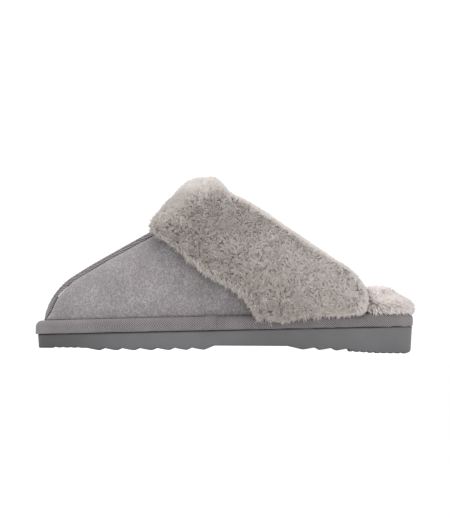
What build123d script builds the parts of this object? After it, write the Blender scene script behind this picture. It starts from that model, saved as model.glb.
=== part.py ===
"""Fluffy house slipper, left foot: a suede mule with a turned-back sheepskin cuff on a taped sole.

Millimetres. The toe points to -Y, the wearer's left is +X and +Z is up.
The origin is on the ground, in the middle of the slipper's length and overall width.
"""
from build123d import *
import math
import os

# ---- sole outline -------------------------------------------------------------------------------
sole_length = 264.0
ball_half_left = 48.0          # half widths are measured from the lengthwise axis
ball_half_right = 46.0
ball_from_toe_left = 84.0
ball_from_toe_right = 72.0
waist_half_left = 41.0
waist_half_right = 31.0
waist_from_heel = 102.0
heel_half_left = 37.0
heel_half_right = 35.5
heel_from_heel = 42.0
outline_fullness = 2.25        # 2 is an ellipse, more is squarer
seam_x = -4.0                  # the centre seam and the toe's tip lie on this line

# ---- sole heights -------------------------------------------------------------------------------
outsole_at_toe = 10.7
outsole_at_heel = 19.4
tape_height = 9.6              # visible height of the wrapped platform
outsole_set_in = 1.1           # the outsole's top edge stands this far inside the tape
outsole_draft = 1.0            # its lower edge stands this much further in
outsole_shift = 0.6            # the sole unit sits this far back under the platform
platform_edge_radius = 4.8
ground_spring = 2.2            # how far the tread lifts off the ground under the waist

# ---- tread --------------------------------------------------------------------------------------
toe_notch_pitch = 5.2
toe_notch_count = 4
toe_notch_depth = 0.6
toe_notch_peak = 0.35          # where in its pitch a notch is deepest
toe_notch_lift = 1.4           # height of the ridges between the notches
toe_block_length = 12.0
toe_block_lift = 0.8
toe_block_rise = 0.4
lug_pitch = 12.2
lug_count = 7
lug_depth = 1.5
lug_peak = 0.3                 # where in its pitch a lug's slot is deepest
lug_foot = 0.75                # where its sloping face reaches the foot
lug_foot_rise = 0.25           # and the share of the depth left there
arch_recess = 2.2
arch_recess_start = 0.85       # share of the recess at the end of the ramp into it
arch_ramp = 7.0
heel_lug_pitch = 11.6
heel_lug_count = 3
heel_lug_depth = 1.5
heel_lug_fall = 0.3            # share of the spring that is lost over the heel lugs
heel_rib_pitch = 4.75
heel_rib_depth = 0.75
heel_rib_count = 8
heel_rib_flat = 1.5            # width of the flat tip that each heel rib stands on
heel_rib_spring = 1.0          # lift of the first rib
heel_rib_settle = 4            # the rib that first touches the ground
heel_corner = 3.0
tread_stock = 1.0              # material below the ground that the tread is cut from

# ---- upper --------------------------------------------------------------------------------------
rim_width = 6.6                # tape top that shows between its edge and the suede
form_base = 11.0               # the upper's form starts below the platform's top
form_levels = (form_base, 22, 30, 38, 48, 60, 74, 90, 108, 126, 142)
form_steps = 9                 # stations from the toe to the back along each side of the form
form_back = 116.0              # the form's open back end
toe_wall_height = 20.0
toe_wall_run = 21.0
instep_slope = 0.577           # rise of the centre seam per millimetre
arch_fullness = 2.2
suede = 1.4
lining = 5.0
topline_slope = 0.66           # fall of the mouth per millimetre towards the heel
topline_height = 102.1         # height of the mouth line where it passes the origin
wing_end = 91.0                # where the side wings drop to the platform
wing_corner = 14.0

# ---- trim and cuff ------------------------------------------------------------------------------
seam_tape_width = 11.0
seam_tape = 0.8
wrap_tape = 0.9
wrap_margin_under = 13.0
wrap_margin_top = 9.5
lap_width = 9.0                # overlap join of the wrap tape
lap_middle = -9.5
lap_set_up = 0.5               # height of the join's lower edge over the outsole
cuff_leather = 1.2
cuff_pile = 9.8
cuff_fold_pile = 11.0          # pile standing over the mouth's edge
cuff_overhang = 9.0            # pile standing past the wings' ends
cuff_leather_set_back = 2.5    # pile standing past the leather's end
cuff_rear = 6.5                # the rear edge of the hem, past the wings' ends
cuff_rear_heights = (46.0, 36.0, 28.5)     # of the rear edge's start, its fullest point and the hem
cuff_crown = -13.0             # station of the cuff's highest point
cuff_crown_drop = 1.1          # how far the pile rounds off there
cuff_roll = 15.0               # length over which the fold straightens behind the crown
cuff_drop = 14.0               # length over which it turns down at the wings' ends
# Points of the cuff's front edge, its hem and its leather's hem: (station, height).
cuff_front = ((-48.5, 80.0), (-51.8, 86.5), (-45.5, 97.5), (-34.5, 112.5), (-24.5, 120.8))
cuff_hem = ((88, 25), (63, 23), (37, 18), (23, 23), (14.5, 36), (-3, 47.5), (-13, 53.5), (-35, 72))
leather_hem = ((-43.5, 86), (-30, 76), (-8, 57), (2, 51), (19.5, 41), (27, 28), (27, 0))

# ---- footbed ------------------------------------------------------------------------------------
board = 1.5
foam = 3.2
footbed_leather = 1.1
footbed_pile_toe = 6.0
footbed_pile_heel = 13.0
footbed_edge = 1.2             # set-in of the pile from the platform's edge at the heel
footbed_tuck = 1.5             # further set-in of its lower edge
# Crown of the footbed's pile: (set-in, share of the pile's height).
footbed_crown = ((0, 0.05), (5, 0.33), (12, 0.66), (22, 0.94))
footbed_free = 1.0             # clearance from the cuff to where the footbed spreads out
filler_margin = 0.4

# ---- thread -------------------------------------------------------------------------------------
thread_radius = 0.35
centre_stitch_length = 2.6
centre_stitch_pitch = 3.7
centre_stitch_set_in = 1.6     # from the seam tape's edge
centre_stitch_start = 0.25     # share of the toe wall's run below the first stitch
centre_stitch_stop = 4.0       # height kept free under the mouth line
platform_stitch_length = 2.8
platform_stitch_pitch = 4.4
topline_stitch_pitch = 5.0
topline_stitch_over = 0.2      # how far a whipped stitch stands past each face of the suede

gap = 0.1                      # clearance between neighbouring pieces
station_accuracy = 1e-9
reach = 90.0                   # half width of the cutting shapes
beyond = 20.0                  # how far cutting shapes run past the slipper's ends
above = 220.0                  # height of the cutting shapes

toe_y = -sole_length / 2
heel_y = sole_length / 2
platform_at_toe = outsole_at_toe + tape_height
platform_at_heel = outsole_at_heel + tape_height
stack = board + foam + footbed_leather + 3 * gap
stitch_clear = 2 * thread_radius + 3 * gap


def ease(t):
    """Smooth step from 0 to 1."""
    return t * t * (3 - 2 * t)


def between(y, at_toe, at_heel):
    """Height of a straight line that runs from the toe's end to the heel's end."""
    return at_toe + (at_heel - at_toe) * (y - toe_y) / sole_length


def half_width(y, side, inset):
    """Distance of the sole's outline from the lengthwise axis, to the left (side 1) or right (-1)."""
    ball = (ball_half_left if side > 0 else ball_half_right) - inset
    waist = (waist_half_left if side > 0 else waist_half_right) - inset
    heel = (heel_half_left if side > 0 else heel_half_right) - inset
    ball_y = toe_y + (ball_from_toe_left if side > 0 else ball_from_toe_right)
    waist_y = heel_y - waist_from_heel
    heel_wide_y = heel_y - heel_from_heel
    if y <= ball_y:
        u = min(1.0, (ball_y - y) / (ball_y - toe_y - inset))
        start = side * seam_x
        return start + (ball - start) * (1 - u ** outline_fullness) ** (1 / outline_fullness)
    if y <= waist_y:
        return ball + (waist - ball) * ease((y - ball_y) / (waist_y - ball_y))
    if y <= heel_wide_y:
        return waist + (heel - waist) * ease((y - waist_y) / (heel_wide_y - waist_y))
    u = min(1.0, (y - heel_wide_y) / (heel_y - inset - heel_wide_y))
    return heel * (1 - u ** outline_fullness) ** (1 / outline_fullness)


def outline_points(inset):
    """Points round the sole's outline, each with the side that it lies on."""
    ends = [math.sin(math.radians(a)) ** (2 / outline_fullness) for a in (72, 54, 36, 18)]
    rows = {}
    for side in (1, -1):
        ball_y = toe_y + (ball_from_toe_left if side > 0 else ball_from_toe_right)
        waist_y = heel_y - waist_from_heel
        heel_wide_y = heel_y - heel_from_heel
        stations = [ball_y - (ball_y - toe_y - inset) * e for e in ends]
        stations += [ball_y + (waist_y - ball_y) * t / 3 for t in range(4)]
        stations += [waist_y + (heel_wide_y - waist_y) * t / 3 for t in (1, 2, 3)]
        stations += [heel_wide_y + (heel_y - inset - heel_wide_y) * e for e in reversed(ends)]
        rows[side] = [(side * half_width(y, side, inset), y) for y in stations]
    left = rows[1]
    right = list(reversed(rows[-1]))
    return [(seam_x, toe_y + inset)] + left + [(0.0, heel_y - inset)] + right


def outline_wire(inset, at_toe, at_heel):
    """The sole's outline, set in, on the sloping plane between two end heights."""
    points = [(x, y, between(y, at_toe, at_heel)) for x, y in outline_points(inset)]
    return Wire([Edge.make_spline(points, periodic=True)])


def slab(inset, bottom, top, top_inset=None):
    """A solid with the sole's outline between two sloping planes, each given as (toe, heel) heights."""
    low = outline_wire(inset, *bottom)
    high = outline_wire(inset if top_inset is None else top_inset, *top)
    return Solid.make_loft([low, high], ruled=True)


def raised(line, rise):
    """A (toe, heel) line lifted by a height."""
    return (line[0] + rise, line[1] + rise)


platform_top = (platform_at_toe, platform_at_heel)
outsole_top = (outsole_at_toe, outsole_at_heel)


def side_prism(sketch):
    """A side-view shape (Y to the right, Z up) carried right across the slipper."""
    return extrude(Plane.YZ * sketch, amount=reach, both=True)


def ridge(y, offset=0.0):
    """Height of the form along the centre seam; the suede's outer face has no offset."""
    run = y - (toe_y + rim_width)
    u = min(1.0, max(0.0, (toe_wall_run - run) / (toe_wall_run + offset)))
    wall = (toe_wall_height + offset) * math.sqrt(1 - u * u)
    return platform_at_toe + wall + instep_slope * run + offset * (math.sqrt(1 + instep_slope ** 2) - 1)


def ridge_station(z, offset):
    """Where the centre seam of the form reaches a height."""
    low = toe_y + rim_width - offset
    high = heel_y
    while high - low > station_accuracy:
        middle = (low + high) / 2
        if ridge(middle, offset) < z:
            low = middle
        else:
            high = middle
    return low


def form_half_width(y, z, side, offset=0.0):
    """Half width of the form, from the centre seam, at one station and height."""
    foot = half_width(y, side, rim_width - offset) - side * seam_x
    share = min(1.0, max(0.0, (z - form_base) / (ridge(y, offset) - form_base)))
    return foot * (1 - share ** arch_fullness) ** (1 / arch_fullness)


def form_level(z, offset):
    """Points of one level of the form, from the right wing round the toe side to the left wing."""
    nose_y = ridge_station(z, offset)
    stations = [nose_y + (form_back - nose_y) * (k / form_steps) ** 2 for k in range(1, form_steps + 1)]
    rows = {}
    for side in (1, -1):
        rows[side] = [(seam_x + side * form_half_width(y, z, side, offset), y, z) for y in stations]
    return list(reversed(rows[-1])) + [(seam_x, nose_y, z)] + rows[1]


def form(offset):
    """The solid inside the upper's surface, moved outwards from the suede's outer face by the offset."""
    wires = []
    for z in form_levels:
        points = form_level(z, offset)
        wires.append(Wire([Edge.make_spline(points), Edge.make_line(points[-1], points[0])]))
    return Solid.make_loft(wires, ruled=True)


def wall(outer, inner):
    """A layer of the upper round both sides, between two offsets of the form."""
    wires = []
    for z in form_levels:
        there = form_level(z, outer)
        back = list(reversed(form_level(z, inner)))
        wires.append(Wire([
            Edge.make_spline(there), Edge.make_line(there[-1], back[0]),
            Edge.make_spline(back), Edge.make_line(back[-1], there[0])]))
    return Solid.make_loft(wires, ruled=True)


def mouth_sketch():
    """Side view of all that lies below the mouth line and ahead of the wings' ends."""
    front_y = toe_y - beyond
    corner = (wing_end, topline_height - topline_slope * wing_end)
    ahead = (front_y, topline_height - topline_slope * front_y)
    edge = FilletPolyline(ahead, corner, (wing_end, -beyond), radius=wing_corner)
    rest = Polyline((wing_end, -beyond), (front_y, -beyond), ahead)
    return make_face([edge, rest])


def cuff_sketch():
    """Side view of the turned-back cuff."""
    fold = topline_height + cuff_fold_pile * math.sqrt(1 + topline_slope ** 2)
    crown = (cuff_crown, fold - topline_slope * cuff_crown - cuff_crown_drop)
    straight_y = cuff_crown + cuff_roll
    drop_y = wing_end - cuff_drop
    straight = (straight_y, fold - topline_slope * straight_y)
    before_drop = (drop_y, fold - topline_slope * drop_y)
    leaving, fullest, lowest = cuff_rear_heights
    rear_corner = (wing_end + cuff_rear, lowest)
    front = Spline(*cuff_front, crown, straight)
    top = Line(straight, before_drop)
    rear_start = (wing_end + cuff_rear, leaving)
    rear = Spline(before_drop, rear_start, (wing_end + cuff_overhang, fullest), rear_corner)
    hem = Spline(rear_corner, *cuff_hem, cuff_front[0])
    return make_face([front, top, rear, hem])


def leather_sketch():
    """Side view of the cuff's leather, set back from the pile's hem and open above the mouth."""
    end = wing_end + cuff_overhang - cuff_leather_set_back
    start = leather_hem[0]
    return make_face(Polyline(*leather_hem, (end, 0), (end, above), (start[0], above), start))


# Distances from the suede's outer face, outwards positive.
suede_in = -suede
lining_out = suede_in - 2 * gap
lining_in = lining_out - lining
seam_tape_out = gap + seam_tape
stitch_out = seam_tape_out + 3 * gap + 2 * thread_radius
leather_in = stitch_out + 2 * gap
leather_out = leather_in + cuff_leather
pile_in = leather_out + gap
pile_out = pile_in + cuff_pile


def tread_spring(y):
    """Lift of the tread off the ground, from none at the toe notches to all of it behind the waist."""
    start = toe_y + toe_block_length + toe_notch_count * toe_notch_pitch
    end = heel_y - waist_from_heel + beyond
    return ground_spring * ease(min(1.0, max(0.0, (y - start) / (end - start))))


def toe_tread():
    """Side profile of the tread's toe block and notches."""
    y = toe_y + toe_block_length
    points = [(toe_y - beyond, toe_block_lift), (y, toe_block_lift + toe_block_rise)]
    for _ in range(toe_notch_count):
        points.append((y + toe_notch_pitch * toe_notch_peak, toe_notch_lift + toe_notch_depth))
        y += toe_notch_pitch
        points.append((y, toe_notch_lift))
    return points


def lug_tread(y):
    """Side profile of the slanted lugs under the ball of the foot, and of the recess behind them."""
    points = []
    for _ in range(lug_count):
        low = tread_spring(y)
        points.append((y + lug_pitch * lug_peak, low + lug_depth))
        points.append((y + lug_pitch * lug_foot, low + lug_depth * lug_foot_rise))
        y += lug_pitch
        points.append((y, low))
    points.append((y + arch_ramp, ground_spring + arch_recess * arch_recess_start))
    return points


def heel_tread():
    """Side profile of the recess's end, the heel lugs and the flat-tipped heel ribs."""
    ribs_start = heel_y - 2 * heel_corner - heel_rib_count * heel_rib_pitch
    y = ribs_start - heel_lug_count * heel_lug_pitch - heel_rib_flat
    points = [(y - arch_ramp, ground_spring + arch_recess)]
    for k in range(heel_lug_count):
        low = ground_spring * (1 - heel_lug_fall * (k + 0.5) / heel_lug_count)
        points.append((y + heel_lug_pitch * lug_peak, low))
        y += heel_lug_pitch
        points.append((y, low + heel_lug_depth))
    for k in range(heel_rib_count + 1):
        y = ribs_start + k * heel_rib_pitch
        low = heel_rib_spring * max(0.0, 1 - k / heel_rib_settle)
        points.append((y - heel_rib_flat / 2, low))
        points.append((y + heel_rib_flat / 2, low))
        points.append((y + heel_rib_pitch / 2, low + heel_rib_depth))
    points.append((heel_y - heel_corner, heel_rib_depth))
    points.append((heel_y + beyond, heel_corner + heel_rib_depth + beyond))
    return points


def make_outsole():
    """EVA sole unit: a tapered block with the tread cut across it."""
    block = slab(outsole_set_in + outsole_draft, (-tread_stock, -tread_stock), outsole_top, outsole_set_in)
    block = Pos(0, outsole_shift, 0) * block
    toe = toe_tread()
    profile = toe + lug_tread(toe[-1][0]) + heel_tread()
    room = make_face(Polyline(*profile, (heel_y + beyond, above), (toe_y - beyond, above), profile[0]))
    return block & side_prism(room)


def platform_block(shrink):
    """The platform's outer shape with its rounded upper edge, set in all round."""
    block = slab(shrink, raised(outsole_top, gap + shrink), raised(platform_top, -shrink))
    rim = max(block.edges(), key=lambda e: e.center().Z)
    return fillet(rim, platform_edge_radius - shrink)


def make_wrap_tape():
    """Woven tape turned over the platform's edges, with the overlap join."""
    inner = platform_block(wrap_tape)
    tape = platform_block(0) - inner
    tape -= slab(wrap_margin_under, (0, 0), raised(outsole_top, tape_height / 2))
    tape -= slab(wrap_margin_top, raised(outsole_top, tape_height / 2), raised(platform_top, tape_height))
    zone = Pos(reach / 2, lap_middle, 0) * Box(reach, lap_width, 2 * above)
    lap = slab(-wrap_tape, raised(outsole_top, lap_set_up), raised(platform_top, -platform_edge_radius))
    return tape + ((lap & zone) - slab(0, (0, 0), (above, above)))


def make_midsole():
    """Foam platform inside the tape."""
    return platform_block(wrap_tape + gap)


def make_bottom_filler():
    """Felt that fills the hollow inside the tape's turned-under margin."""
    bottom, top = raised(outsole_top, gap), raised(outsole_top, gap + wrap_tape)
    return slab(wrap_margin_under + filler_margin, bottom, top)


def above_platform(rise):
    """Everything above the platform's top, as a prism."""
    line = raised(platform_top, rise)
    front, back = toe_y - beyond, heel_y + beyond
    low_front, low_back = between(front, *line), between(back, *line)
    corners = ((front, low_front), (back, low_back), (back, above), (front, above))
    return side_prism(make_face(Polyline(*corners, corners[0])))


def side_half(side):
    """Half space on one side of the centre seam."""
    return Pos(seam_x + side * (reach + gap / 2), 0, 0) * Box(2 * reach, 2 * sole_length, 2 * above)


def inside_upper(piece, inner_form):
    """A footbed layer kept inside the upper, and whole behind the wings and the cuff."""
    free_y = wing_end + cuff_overhang + footbed_free
    behind = Pos(0, free_y + reach, 0) * Box(2 * reach, 2 * reach, 2 * above)
    return (piece & inner_form) + (piece & behind)


def footbed_layer(low, high, inner_form):
    """A flat layer of the footbed between two heights above the platform."""
    layer = slab(rim_width + suede + 2 * gap, raised(platform_top, low), raised(platform_top, high))
    return inside_upper(layer, inner_form)


def make_footbed_wool(inner_form):
    """Crowned pile of the footbed, which spreads over the edge at the heel."""
    low = stack + gap
    skirt = raised(platform_top, stitch_clear)
    wires = [outline_wire(footbed_edge + footbed_tuck, *skirt)]
    for inset, share in footbed_crown:
        toe_height = platform_at_toe + low + share * footbed_pile_toe
        heel_height = platform_at_heel + low + share * footbed_pile_heel
        wires.append(outline_wire(footbed_edge + inset, toe_height, heel_height))
    dome = Solid.make_loft(wires)
    core = slab(rim_width + suede + gap, raised(platform_top, 0), raised(platform_top, stack))
    return inside_upper(dome - core, inner_form)


def thread_on(plane, length):
    """A single stitch: a rod along the plane's X direction, centred on it."""
    return plane * (Rot(0, 90, 0) * Cylinder(thread_radius, length))


def seam_point(y, side, lift):
    """A point over the seam tape's edge on one side."""
    out = seam_tape_width / 2 - centre_stitch_set_in
    foot = half_width(y, side, rim_width - lift) - side * seam_x
    share = (1 - (out / foot) ** arch_fullness) ** (1 / arch_fullness)
    return Vector(seam_x + side * out, y, form_base + share * (ridge(y, lift) - form_base))


def make_centre_stitches(side):
    """One row of stitches along the seam tape, from the toe to the mouth."""
    lift = seam_tape_out + 3 * gap + thread_radius
    stitches = []
    y = toe_y + rim_width + toe_wall_run * centre_stitch_start
    while topline_height - topline_slope * y > ridge(y) + centre_stitch_stop:
        here = seam_point(y, side, lift)
        along = (seam_point(y + 1, side, lift) - here).normalized()
        plane = Plane(origin=here, x_dir=along, z_dir=Vector(1, 0, 0).cross(along))
        stitches.append(thread_on(plane, centre_stitch_length))
        y += centre_stitch_pitch * along.Y
    return Compound(children=stitches)


def make_platform_stitches():
    """The row in the corner between the suede and the tape's top, right round the platform."""
    path = outline_wire(rim_width - thread_radius - 7 * gap, *platform_top).edges()[0]
    count = int(path.length / platform_stitch_pitch)
    stitches = []
    for k in range(count):
        at = (k + 0.5) / count
        along = path.tangent_at(at)
        origin = path.position_at(at) + Vector(0, 0, thread_radius + gap)
        if origin.Y < 0 and abs(origin.X - seam_x) < seam_tape_width / 2 + platform_stitch_length:
            continue
        across = Vector(0, 0, 1).cross(along)
        plane = Plane(origin=origin, x_dir=along, z_dir=along.cross(across))
        stitches.append(thread_on(plane, platform_stitch_length))
    return Compound(children=stitches)


def make_topline_stitches():
    """Whipped stitches over the mouth's raw edge, hidden in the fold."""
    over = Vector(0, topline_slope, 1).normalized()
    stitches = []
    for side in (1, -1):
        y = 0.0
        while y < wing_end - wing_corner - topline_stitch_pitch / 2:
            z = topline_height - topline_slope * y
            edge = Vector(seam_x + side * form_half_width(y, z, side, -suede / 2), y, z)
            plane = Plane(origin=edge + over * (thread_radius + 2 * gap), x_dir=(side, 0, 0), z_dir=over)
            stitches.append(thread_on(plane, suede + 2 * topline_stitch_over))
            y += topline_stitch_pitch * over.Z
    return Compound(children=stitches)


def build():
    """All pieces by node name."""
    mouth = side_prism(mouth_sketch())
    upper_trim = mouth & above_platform(gap)
    lining_trim = mouth & above_platform(board + 2 * gap)
    parts = {}
    parts["outsole"] = make_outsole()
    parts["midsole"] = make_midsole()
    parts["bottom_filler"] = make_bottom_filler()
    parts["platform_wrap_tape"] = make_wrap_tape()

    parts["insole_board"] = footbed_layer(gap, gap + board, form(suede_in - gap))
    foot_space = form(lining_in - gap)
    low = board + 2 * gap
    parts["cushion_foam"] = footbed_layer(low, low + foam, foot_space)
    low += foam + gap
    parts["footbed_skin"] = footbed_layer(low, low + footbed_leather, foot_space)
    parts["footbed_wool"] = make_footbed_wool(foot_space)

    for name, side in (("left", 1), ("right", -1)):
        parts["vamp_" + name] = wall(0, suede_in) & (upper_trim & side_half(side))
        parts["lining_" + name] = wall(lining_out, lining_in) & (lining_trim & side_half(side))
        parts["centre_stitches_" + name] = make_centre_stitches(side)
    band = Pos(seam_x, 0, 0) * Box(seam_tape_width, 2 * sole_length, 2 * above)
    parts["centre_seam_tape"] = wall(seam_tape_out, gap) & (upper_trim & band)
    parts["platform_stitches"] = make_platform_stitches()
    parts["topline_stitches"] = make_topline_stitches()

    leather_trim = side_prism(leather_sketch()) & mouth & above_platform(stitch_clear)
    parts["cuff_skin"] = wall(leather_out, leather_in) & leather_trim
    edge_line = offset(mouth_sketch(), amount=2 * thread_radius + 4 * gap)
    turned_down = wall(pile_out, pile_in) & side_prism(cuff_sketch() & edge_line)
    over_edge = wall(pile_out, lining_in) & side_prism(cuff_sketch() - edge_line)
    clear_platform = slab(-3 * gap, (-beyond, -beyond), raised(platform_top, board + 3 * gap))
    parts["cuff_wool"] = (turned_down + over_edge) - clear_platform
    return parts


def main():
    os.makedirs("parts", exist_ok=True)
    parts = build()
    boxes = [shape.bounding_box() for shape in parts.values()]
    middle_x = (min(b.min.X for b in boxes) + max(b.max.X for b in boxes)) / 2
    for name, shape in parts.items():
        export_step(shape.moved(Location((-middle_x, 0, 0))), f"parts/{name}.step")


main()
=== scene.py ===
import math

import bmesh
import bpy
import numpy as np
from bpy.props import FloatProperty, FloatVectorProperty, IntProperty, PointerProperty
from mathutils import Matrix, Vector, noise
from mathutils.bvhtree import BVHTree


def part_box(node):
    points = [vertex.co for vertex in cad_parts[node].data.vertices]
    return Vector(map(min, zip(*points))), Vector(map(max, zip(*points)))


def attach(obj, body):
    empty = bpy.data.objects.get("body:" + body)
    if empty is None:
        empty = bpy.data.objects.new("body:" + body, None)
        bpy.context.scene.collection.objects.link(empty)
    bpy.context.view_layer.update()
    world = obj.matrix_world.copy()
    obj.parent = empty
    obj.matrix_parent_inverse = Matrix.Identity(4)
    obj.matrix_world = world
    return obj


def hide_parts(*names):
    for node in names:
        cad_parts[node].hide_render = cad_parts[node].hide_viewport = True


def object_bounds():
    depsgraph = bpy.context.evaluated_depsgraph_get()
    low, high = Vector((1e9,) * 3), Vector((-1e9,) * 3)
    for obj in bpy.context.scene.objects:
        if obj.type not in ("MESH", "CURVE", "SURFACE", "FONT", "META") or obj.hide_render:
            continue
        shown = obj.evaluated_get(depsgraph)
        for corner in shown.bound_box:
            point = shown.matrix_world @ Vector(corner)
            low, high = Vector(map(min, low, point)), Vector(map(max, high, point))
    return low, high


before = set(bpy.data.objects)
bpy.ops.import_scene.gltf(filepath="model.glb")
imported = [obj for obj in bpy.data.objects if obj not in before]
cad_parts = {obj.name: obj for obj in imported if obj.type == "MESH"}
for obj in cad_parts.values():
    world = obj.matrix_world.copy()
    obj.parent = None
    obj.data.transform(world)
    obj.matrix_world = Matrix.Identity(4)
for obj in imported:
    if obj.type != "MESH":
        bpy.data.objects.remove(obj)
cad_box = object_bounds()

bl_info = {
    "name": "Fluffy House Slipper",
    "version": (1, 0, 0),
    "blender": (4, 5, 0),
    "location": "View3D > Sidebar > Slipper",
    "description": "Builds a sheepskin house slipper around its packed CAD frame",
    "category": "Add Mesh",
}

MM = 0.001
BODY = "root"
SEAM_RISE = 3.0 * MM        # how far the seam allowance under the tape lifts its middle
SEAM_SINK = 3.0 * MM        # how far the suede and the tape's edges sink beside the allowance
SEAM_FLAT = 6.2 * MM        # the suede is sunk fully up to this distance from the seam
SEAM_REACH = 17.0 * MM      # and not at all beyond this one
SEAM_START = 7.0 * MM       # height over the platform at which it has sunk fully
LINING_SINK = 2.3           # how much further than the suede the lining sinks there
OUTWARD_LENGTH = 0.3        # rays that look at the slipper from outside start this far away
YARN_PITCH = 1.75 * MM      # of the tapes' slanted yarns, along the tape
PICK_PITCH = 0.62 * MM      # of the tapes' cross threads
TUFT_SIZE = 2.6 * MM        # of the tufts that neighbouring locks of wool lean into
SWIRL_SIZE = 11 * MM        # of the patches in which the pile lies one way
FRINGE_SIZE = 5 * MM        # of the tufts along a ragged hem


# ---- sizes and colours that a user would change --------------------------------------------------

class SlipperSizes(bpy.types.PropertyGroup):
    """Sizes of the soft pieces."""
    cuff_pile: FloatProperty(
        name="Cuff pile", description="Length of the wool on the turned-back cuff",
        default=3.9 * MM, unit="LENGTH")
    lining_pile: FloatProperty(
        name="Lining pile", description="Length of the wool inside the upper",
        default=3.4 * MM, unit="LENGTH")
    footbed_pile: FloatProperty(
        name="Footbed pile", description="Length of the wool under the foot",
        default=4.2 * MM, unit="LENGTH")
    strand_radius: FloatProperty(
        name="Lock radius", description="Radius of one lock of wool at its root",
        default=0.4 * MM, unit="LENGTH")
    cuff_strands: IntProperty(
        name="Cuff locks", description="Number of locks on the cuff", default=98000)
    footbed_strands: IntProperty(
        name="Footbed locks", description="Number of locks on the footbed", default=28000)
    lining_strands: IntProperty(
        name="Lining locks", description="Number of locks on each half of the lining", default=9000)
    suede_thickness: FloatProperty(
        name="Suede", description="Thickness of the suede", default=1.3 * MM, unit="LENGTH")
    tape_thickness: FloatProperty(
        name="Tape", description="Thickness of the woven tapes", default=0.8 * MM, unit="LENGTH")


def colour(name, description, value):
    """A colour property."""
    return FloatVectorProperty(
        name=name, description=description, subtype="COLOR", size=3, min=0.0, max=1.0, default=value)


class SlipperColours(bpy.types.PropertyGroup):
    """Colours of the finishes, linear."""
    suede: colour("Suede", "Napped suede of the upper", (0.262, 0.249, 0.251))
    suede_dark: colour("Suede, dark", "Suede brushed the other way", (0.182, 0.168, 0.172))
    suede_rosy: colour("Suede, rosy", "Faint warm cast in places", (0.262, 0.212, 0.228))
    wool_tip: colour("Wool tips", "Lightest part of the wool", (0.850, 0.812, 0.795))
    wool_middle: colour("Wool", "Middle of the wool", (0.590, 0.540, 0.505))
    wool_root: colour("Wool roots", "Shaded roots of the wool", (0.330, 0.295, 0.268))
    tape: colour("Tape", "Light yarn of the woven tapes", (0.270, 0.245, 0.250))
    tape_dark: colour("Tape, dark", "Dark yarn of the woven tapes", (0.062, 0.055, 0.058))
    outsole: colour("Outsole", "Moulded EVA of the sole", (0.112, 0.112, 0.116))
    thread: colour("Thread", "Sewing thread", (0.190, 0.172, 0.178))
    hide: colour("Hide", "Back of the sheepskin", (0.330, 0.290, 0.250))
    board: colour("Board", "Fibre board and felt", (0.270, 0.225, 0.170))


# ---- shader expressions --------------------------------------------------------------------------

class Value:
    """A shader socket. Python operators on it add Math nodes."""

    def __init__(self, shader, socket):
        self.shader = shader
        self.socket = socket

    def math(self, operation, *others):
        inputs = dict(enumerate((self, *others)))
        return self.shader.node("Math", {"operation": operation}, inputs)

    def __add__(self, other):
        return self.math("ADD", other)

    def __sub__(self, other):
        return self.math("SUBTRACT", other)

    def __rsub__(self, other):
        return self.shader.node("Math", {"operation": "SUBTRACT"}, {0: other, 1: self})

    def __mul__(self, other):
        return self.math("MULTIPLY", other)

    __radd__ = __add__


class Shader:
    """The node tree of one material."""

    def __init__(self, name):
        self.material = bpy.data.materials.new(name)
        self.material.use_nodes = True
        self.tree = self.material.node_tree
        self.tree.nodes.clear()

    def node(self, kind, settings=None, inputs=None, output=0):
        """Adds a node, sets it up, then gives its sockets their values or links."""
        made = self.tree.nodes.new("ShaderNode" + kind)
        for name, value in (settings or {}).items():
            if name == "stops":
                self.set_stops(made.color_ramp, value)
            else:
                setattr(made, name, value)
        for name, value in (inputs or {}).items():
            if isinstance(value, Value):
                self.tree.links.new(value.socket, made.inputs[name])
            else:
                made.inputs[name].default_value = value
        return Value(self, made.outputs[output])

    def set_stops(self, ramp, stops):
        while len(ramp.elements) < len(stops):
            ramp.elements.new(1.0)
        for element, (position, shade) in zip(ramp.elements, stops):
            element.position = position
            element.color = (*shade, 1.0)

    def place(self):
        """Object coordinates."""
        return self.node("TexCoord", output="Object")

    def part(self, vector, axis):
        """One coordinate of a vector."""
        return self.node("SeparateXYZ", inputs={0: vector}, output=axis)

    def noise(self, vector, size, detail=3.0, roughness=0.55):
        """Noise whose blotches are about the given size."""
        return self.node("TexNoise", inputs={
            "Vector": vector, "Scale": 1.0 / size, "Detail": detail, "Roughness": roughness})

    def limit(self, value, low, high):
        """Value rescaled so that low gives 0 and high gives 1, and kept between them."""
        return self.node("MapRange", {"clamp": True}, {"Value": value, "From Min": low, "From Max": high})

    def mix(self, factor, first, second):
        """Colour between two colours."""
        first = first if isinstance(first, Value) else (*first, 1.0)
        second = second if isinstance(second, Value) else (*second, 1.0)
        return self.node("Mix", {"data_type": "RGBA"}, {0: factor, 6: first, 7: second}, output=2)

    def bump(self, height, distance, strength=1.0):
        return self.node("Bump", inputs={"Height": height, "Distance": distance, "Strength": strength})

    def finish(self, base, roughness, normal=None, **constants):
        """Closes the tree with one Principled shader."""
        inputs = {"Base Color": base, "Roughness": roughness}
        if normal is not None:
            inputs["Normal"] = normal
        names = {"sheen": "Sheen Weight", "sheen_roughness": "Sheen Roughness",
                 "specular": "Specular IOR Level"}
        inputs.update({names[k]: v for k, v in constants.items()})
        surface = self.node("BsdfPrincipled", inputs=inputs)
        out = self.tree.nodes.new("ShaderNodeOutputMaterial")
        self.tree.links.new(surface.socket, out.inputs["Surface"])
        return self.material


def scaled(shade, share):
    """A colour at a share of its brightness."""
    return tuple(c * share for c in shade)


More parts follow.
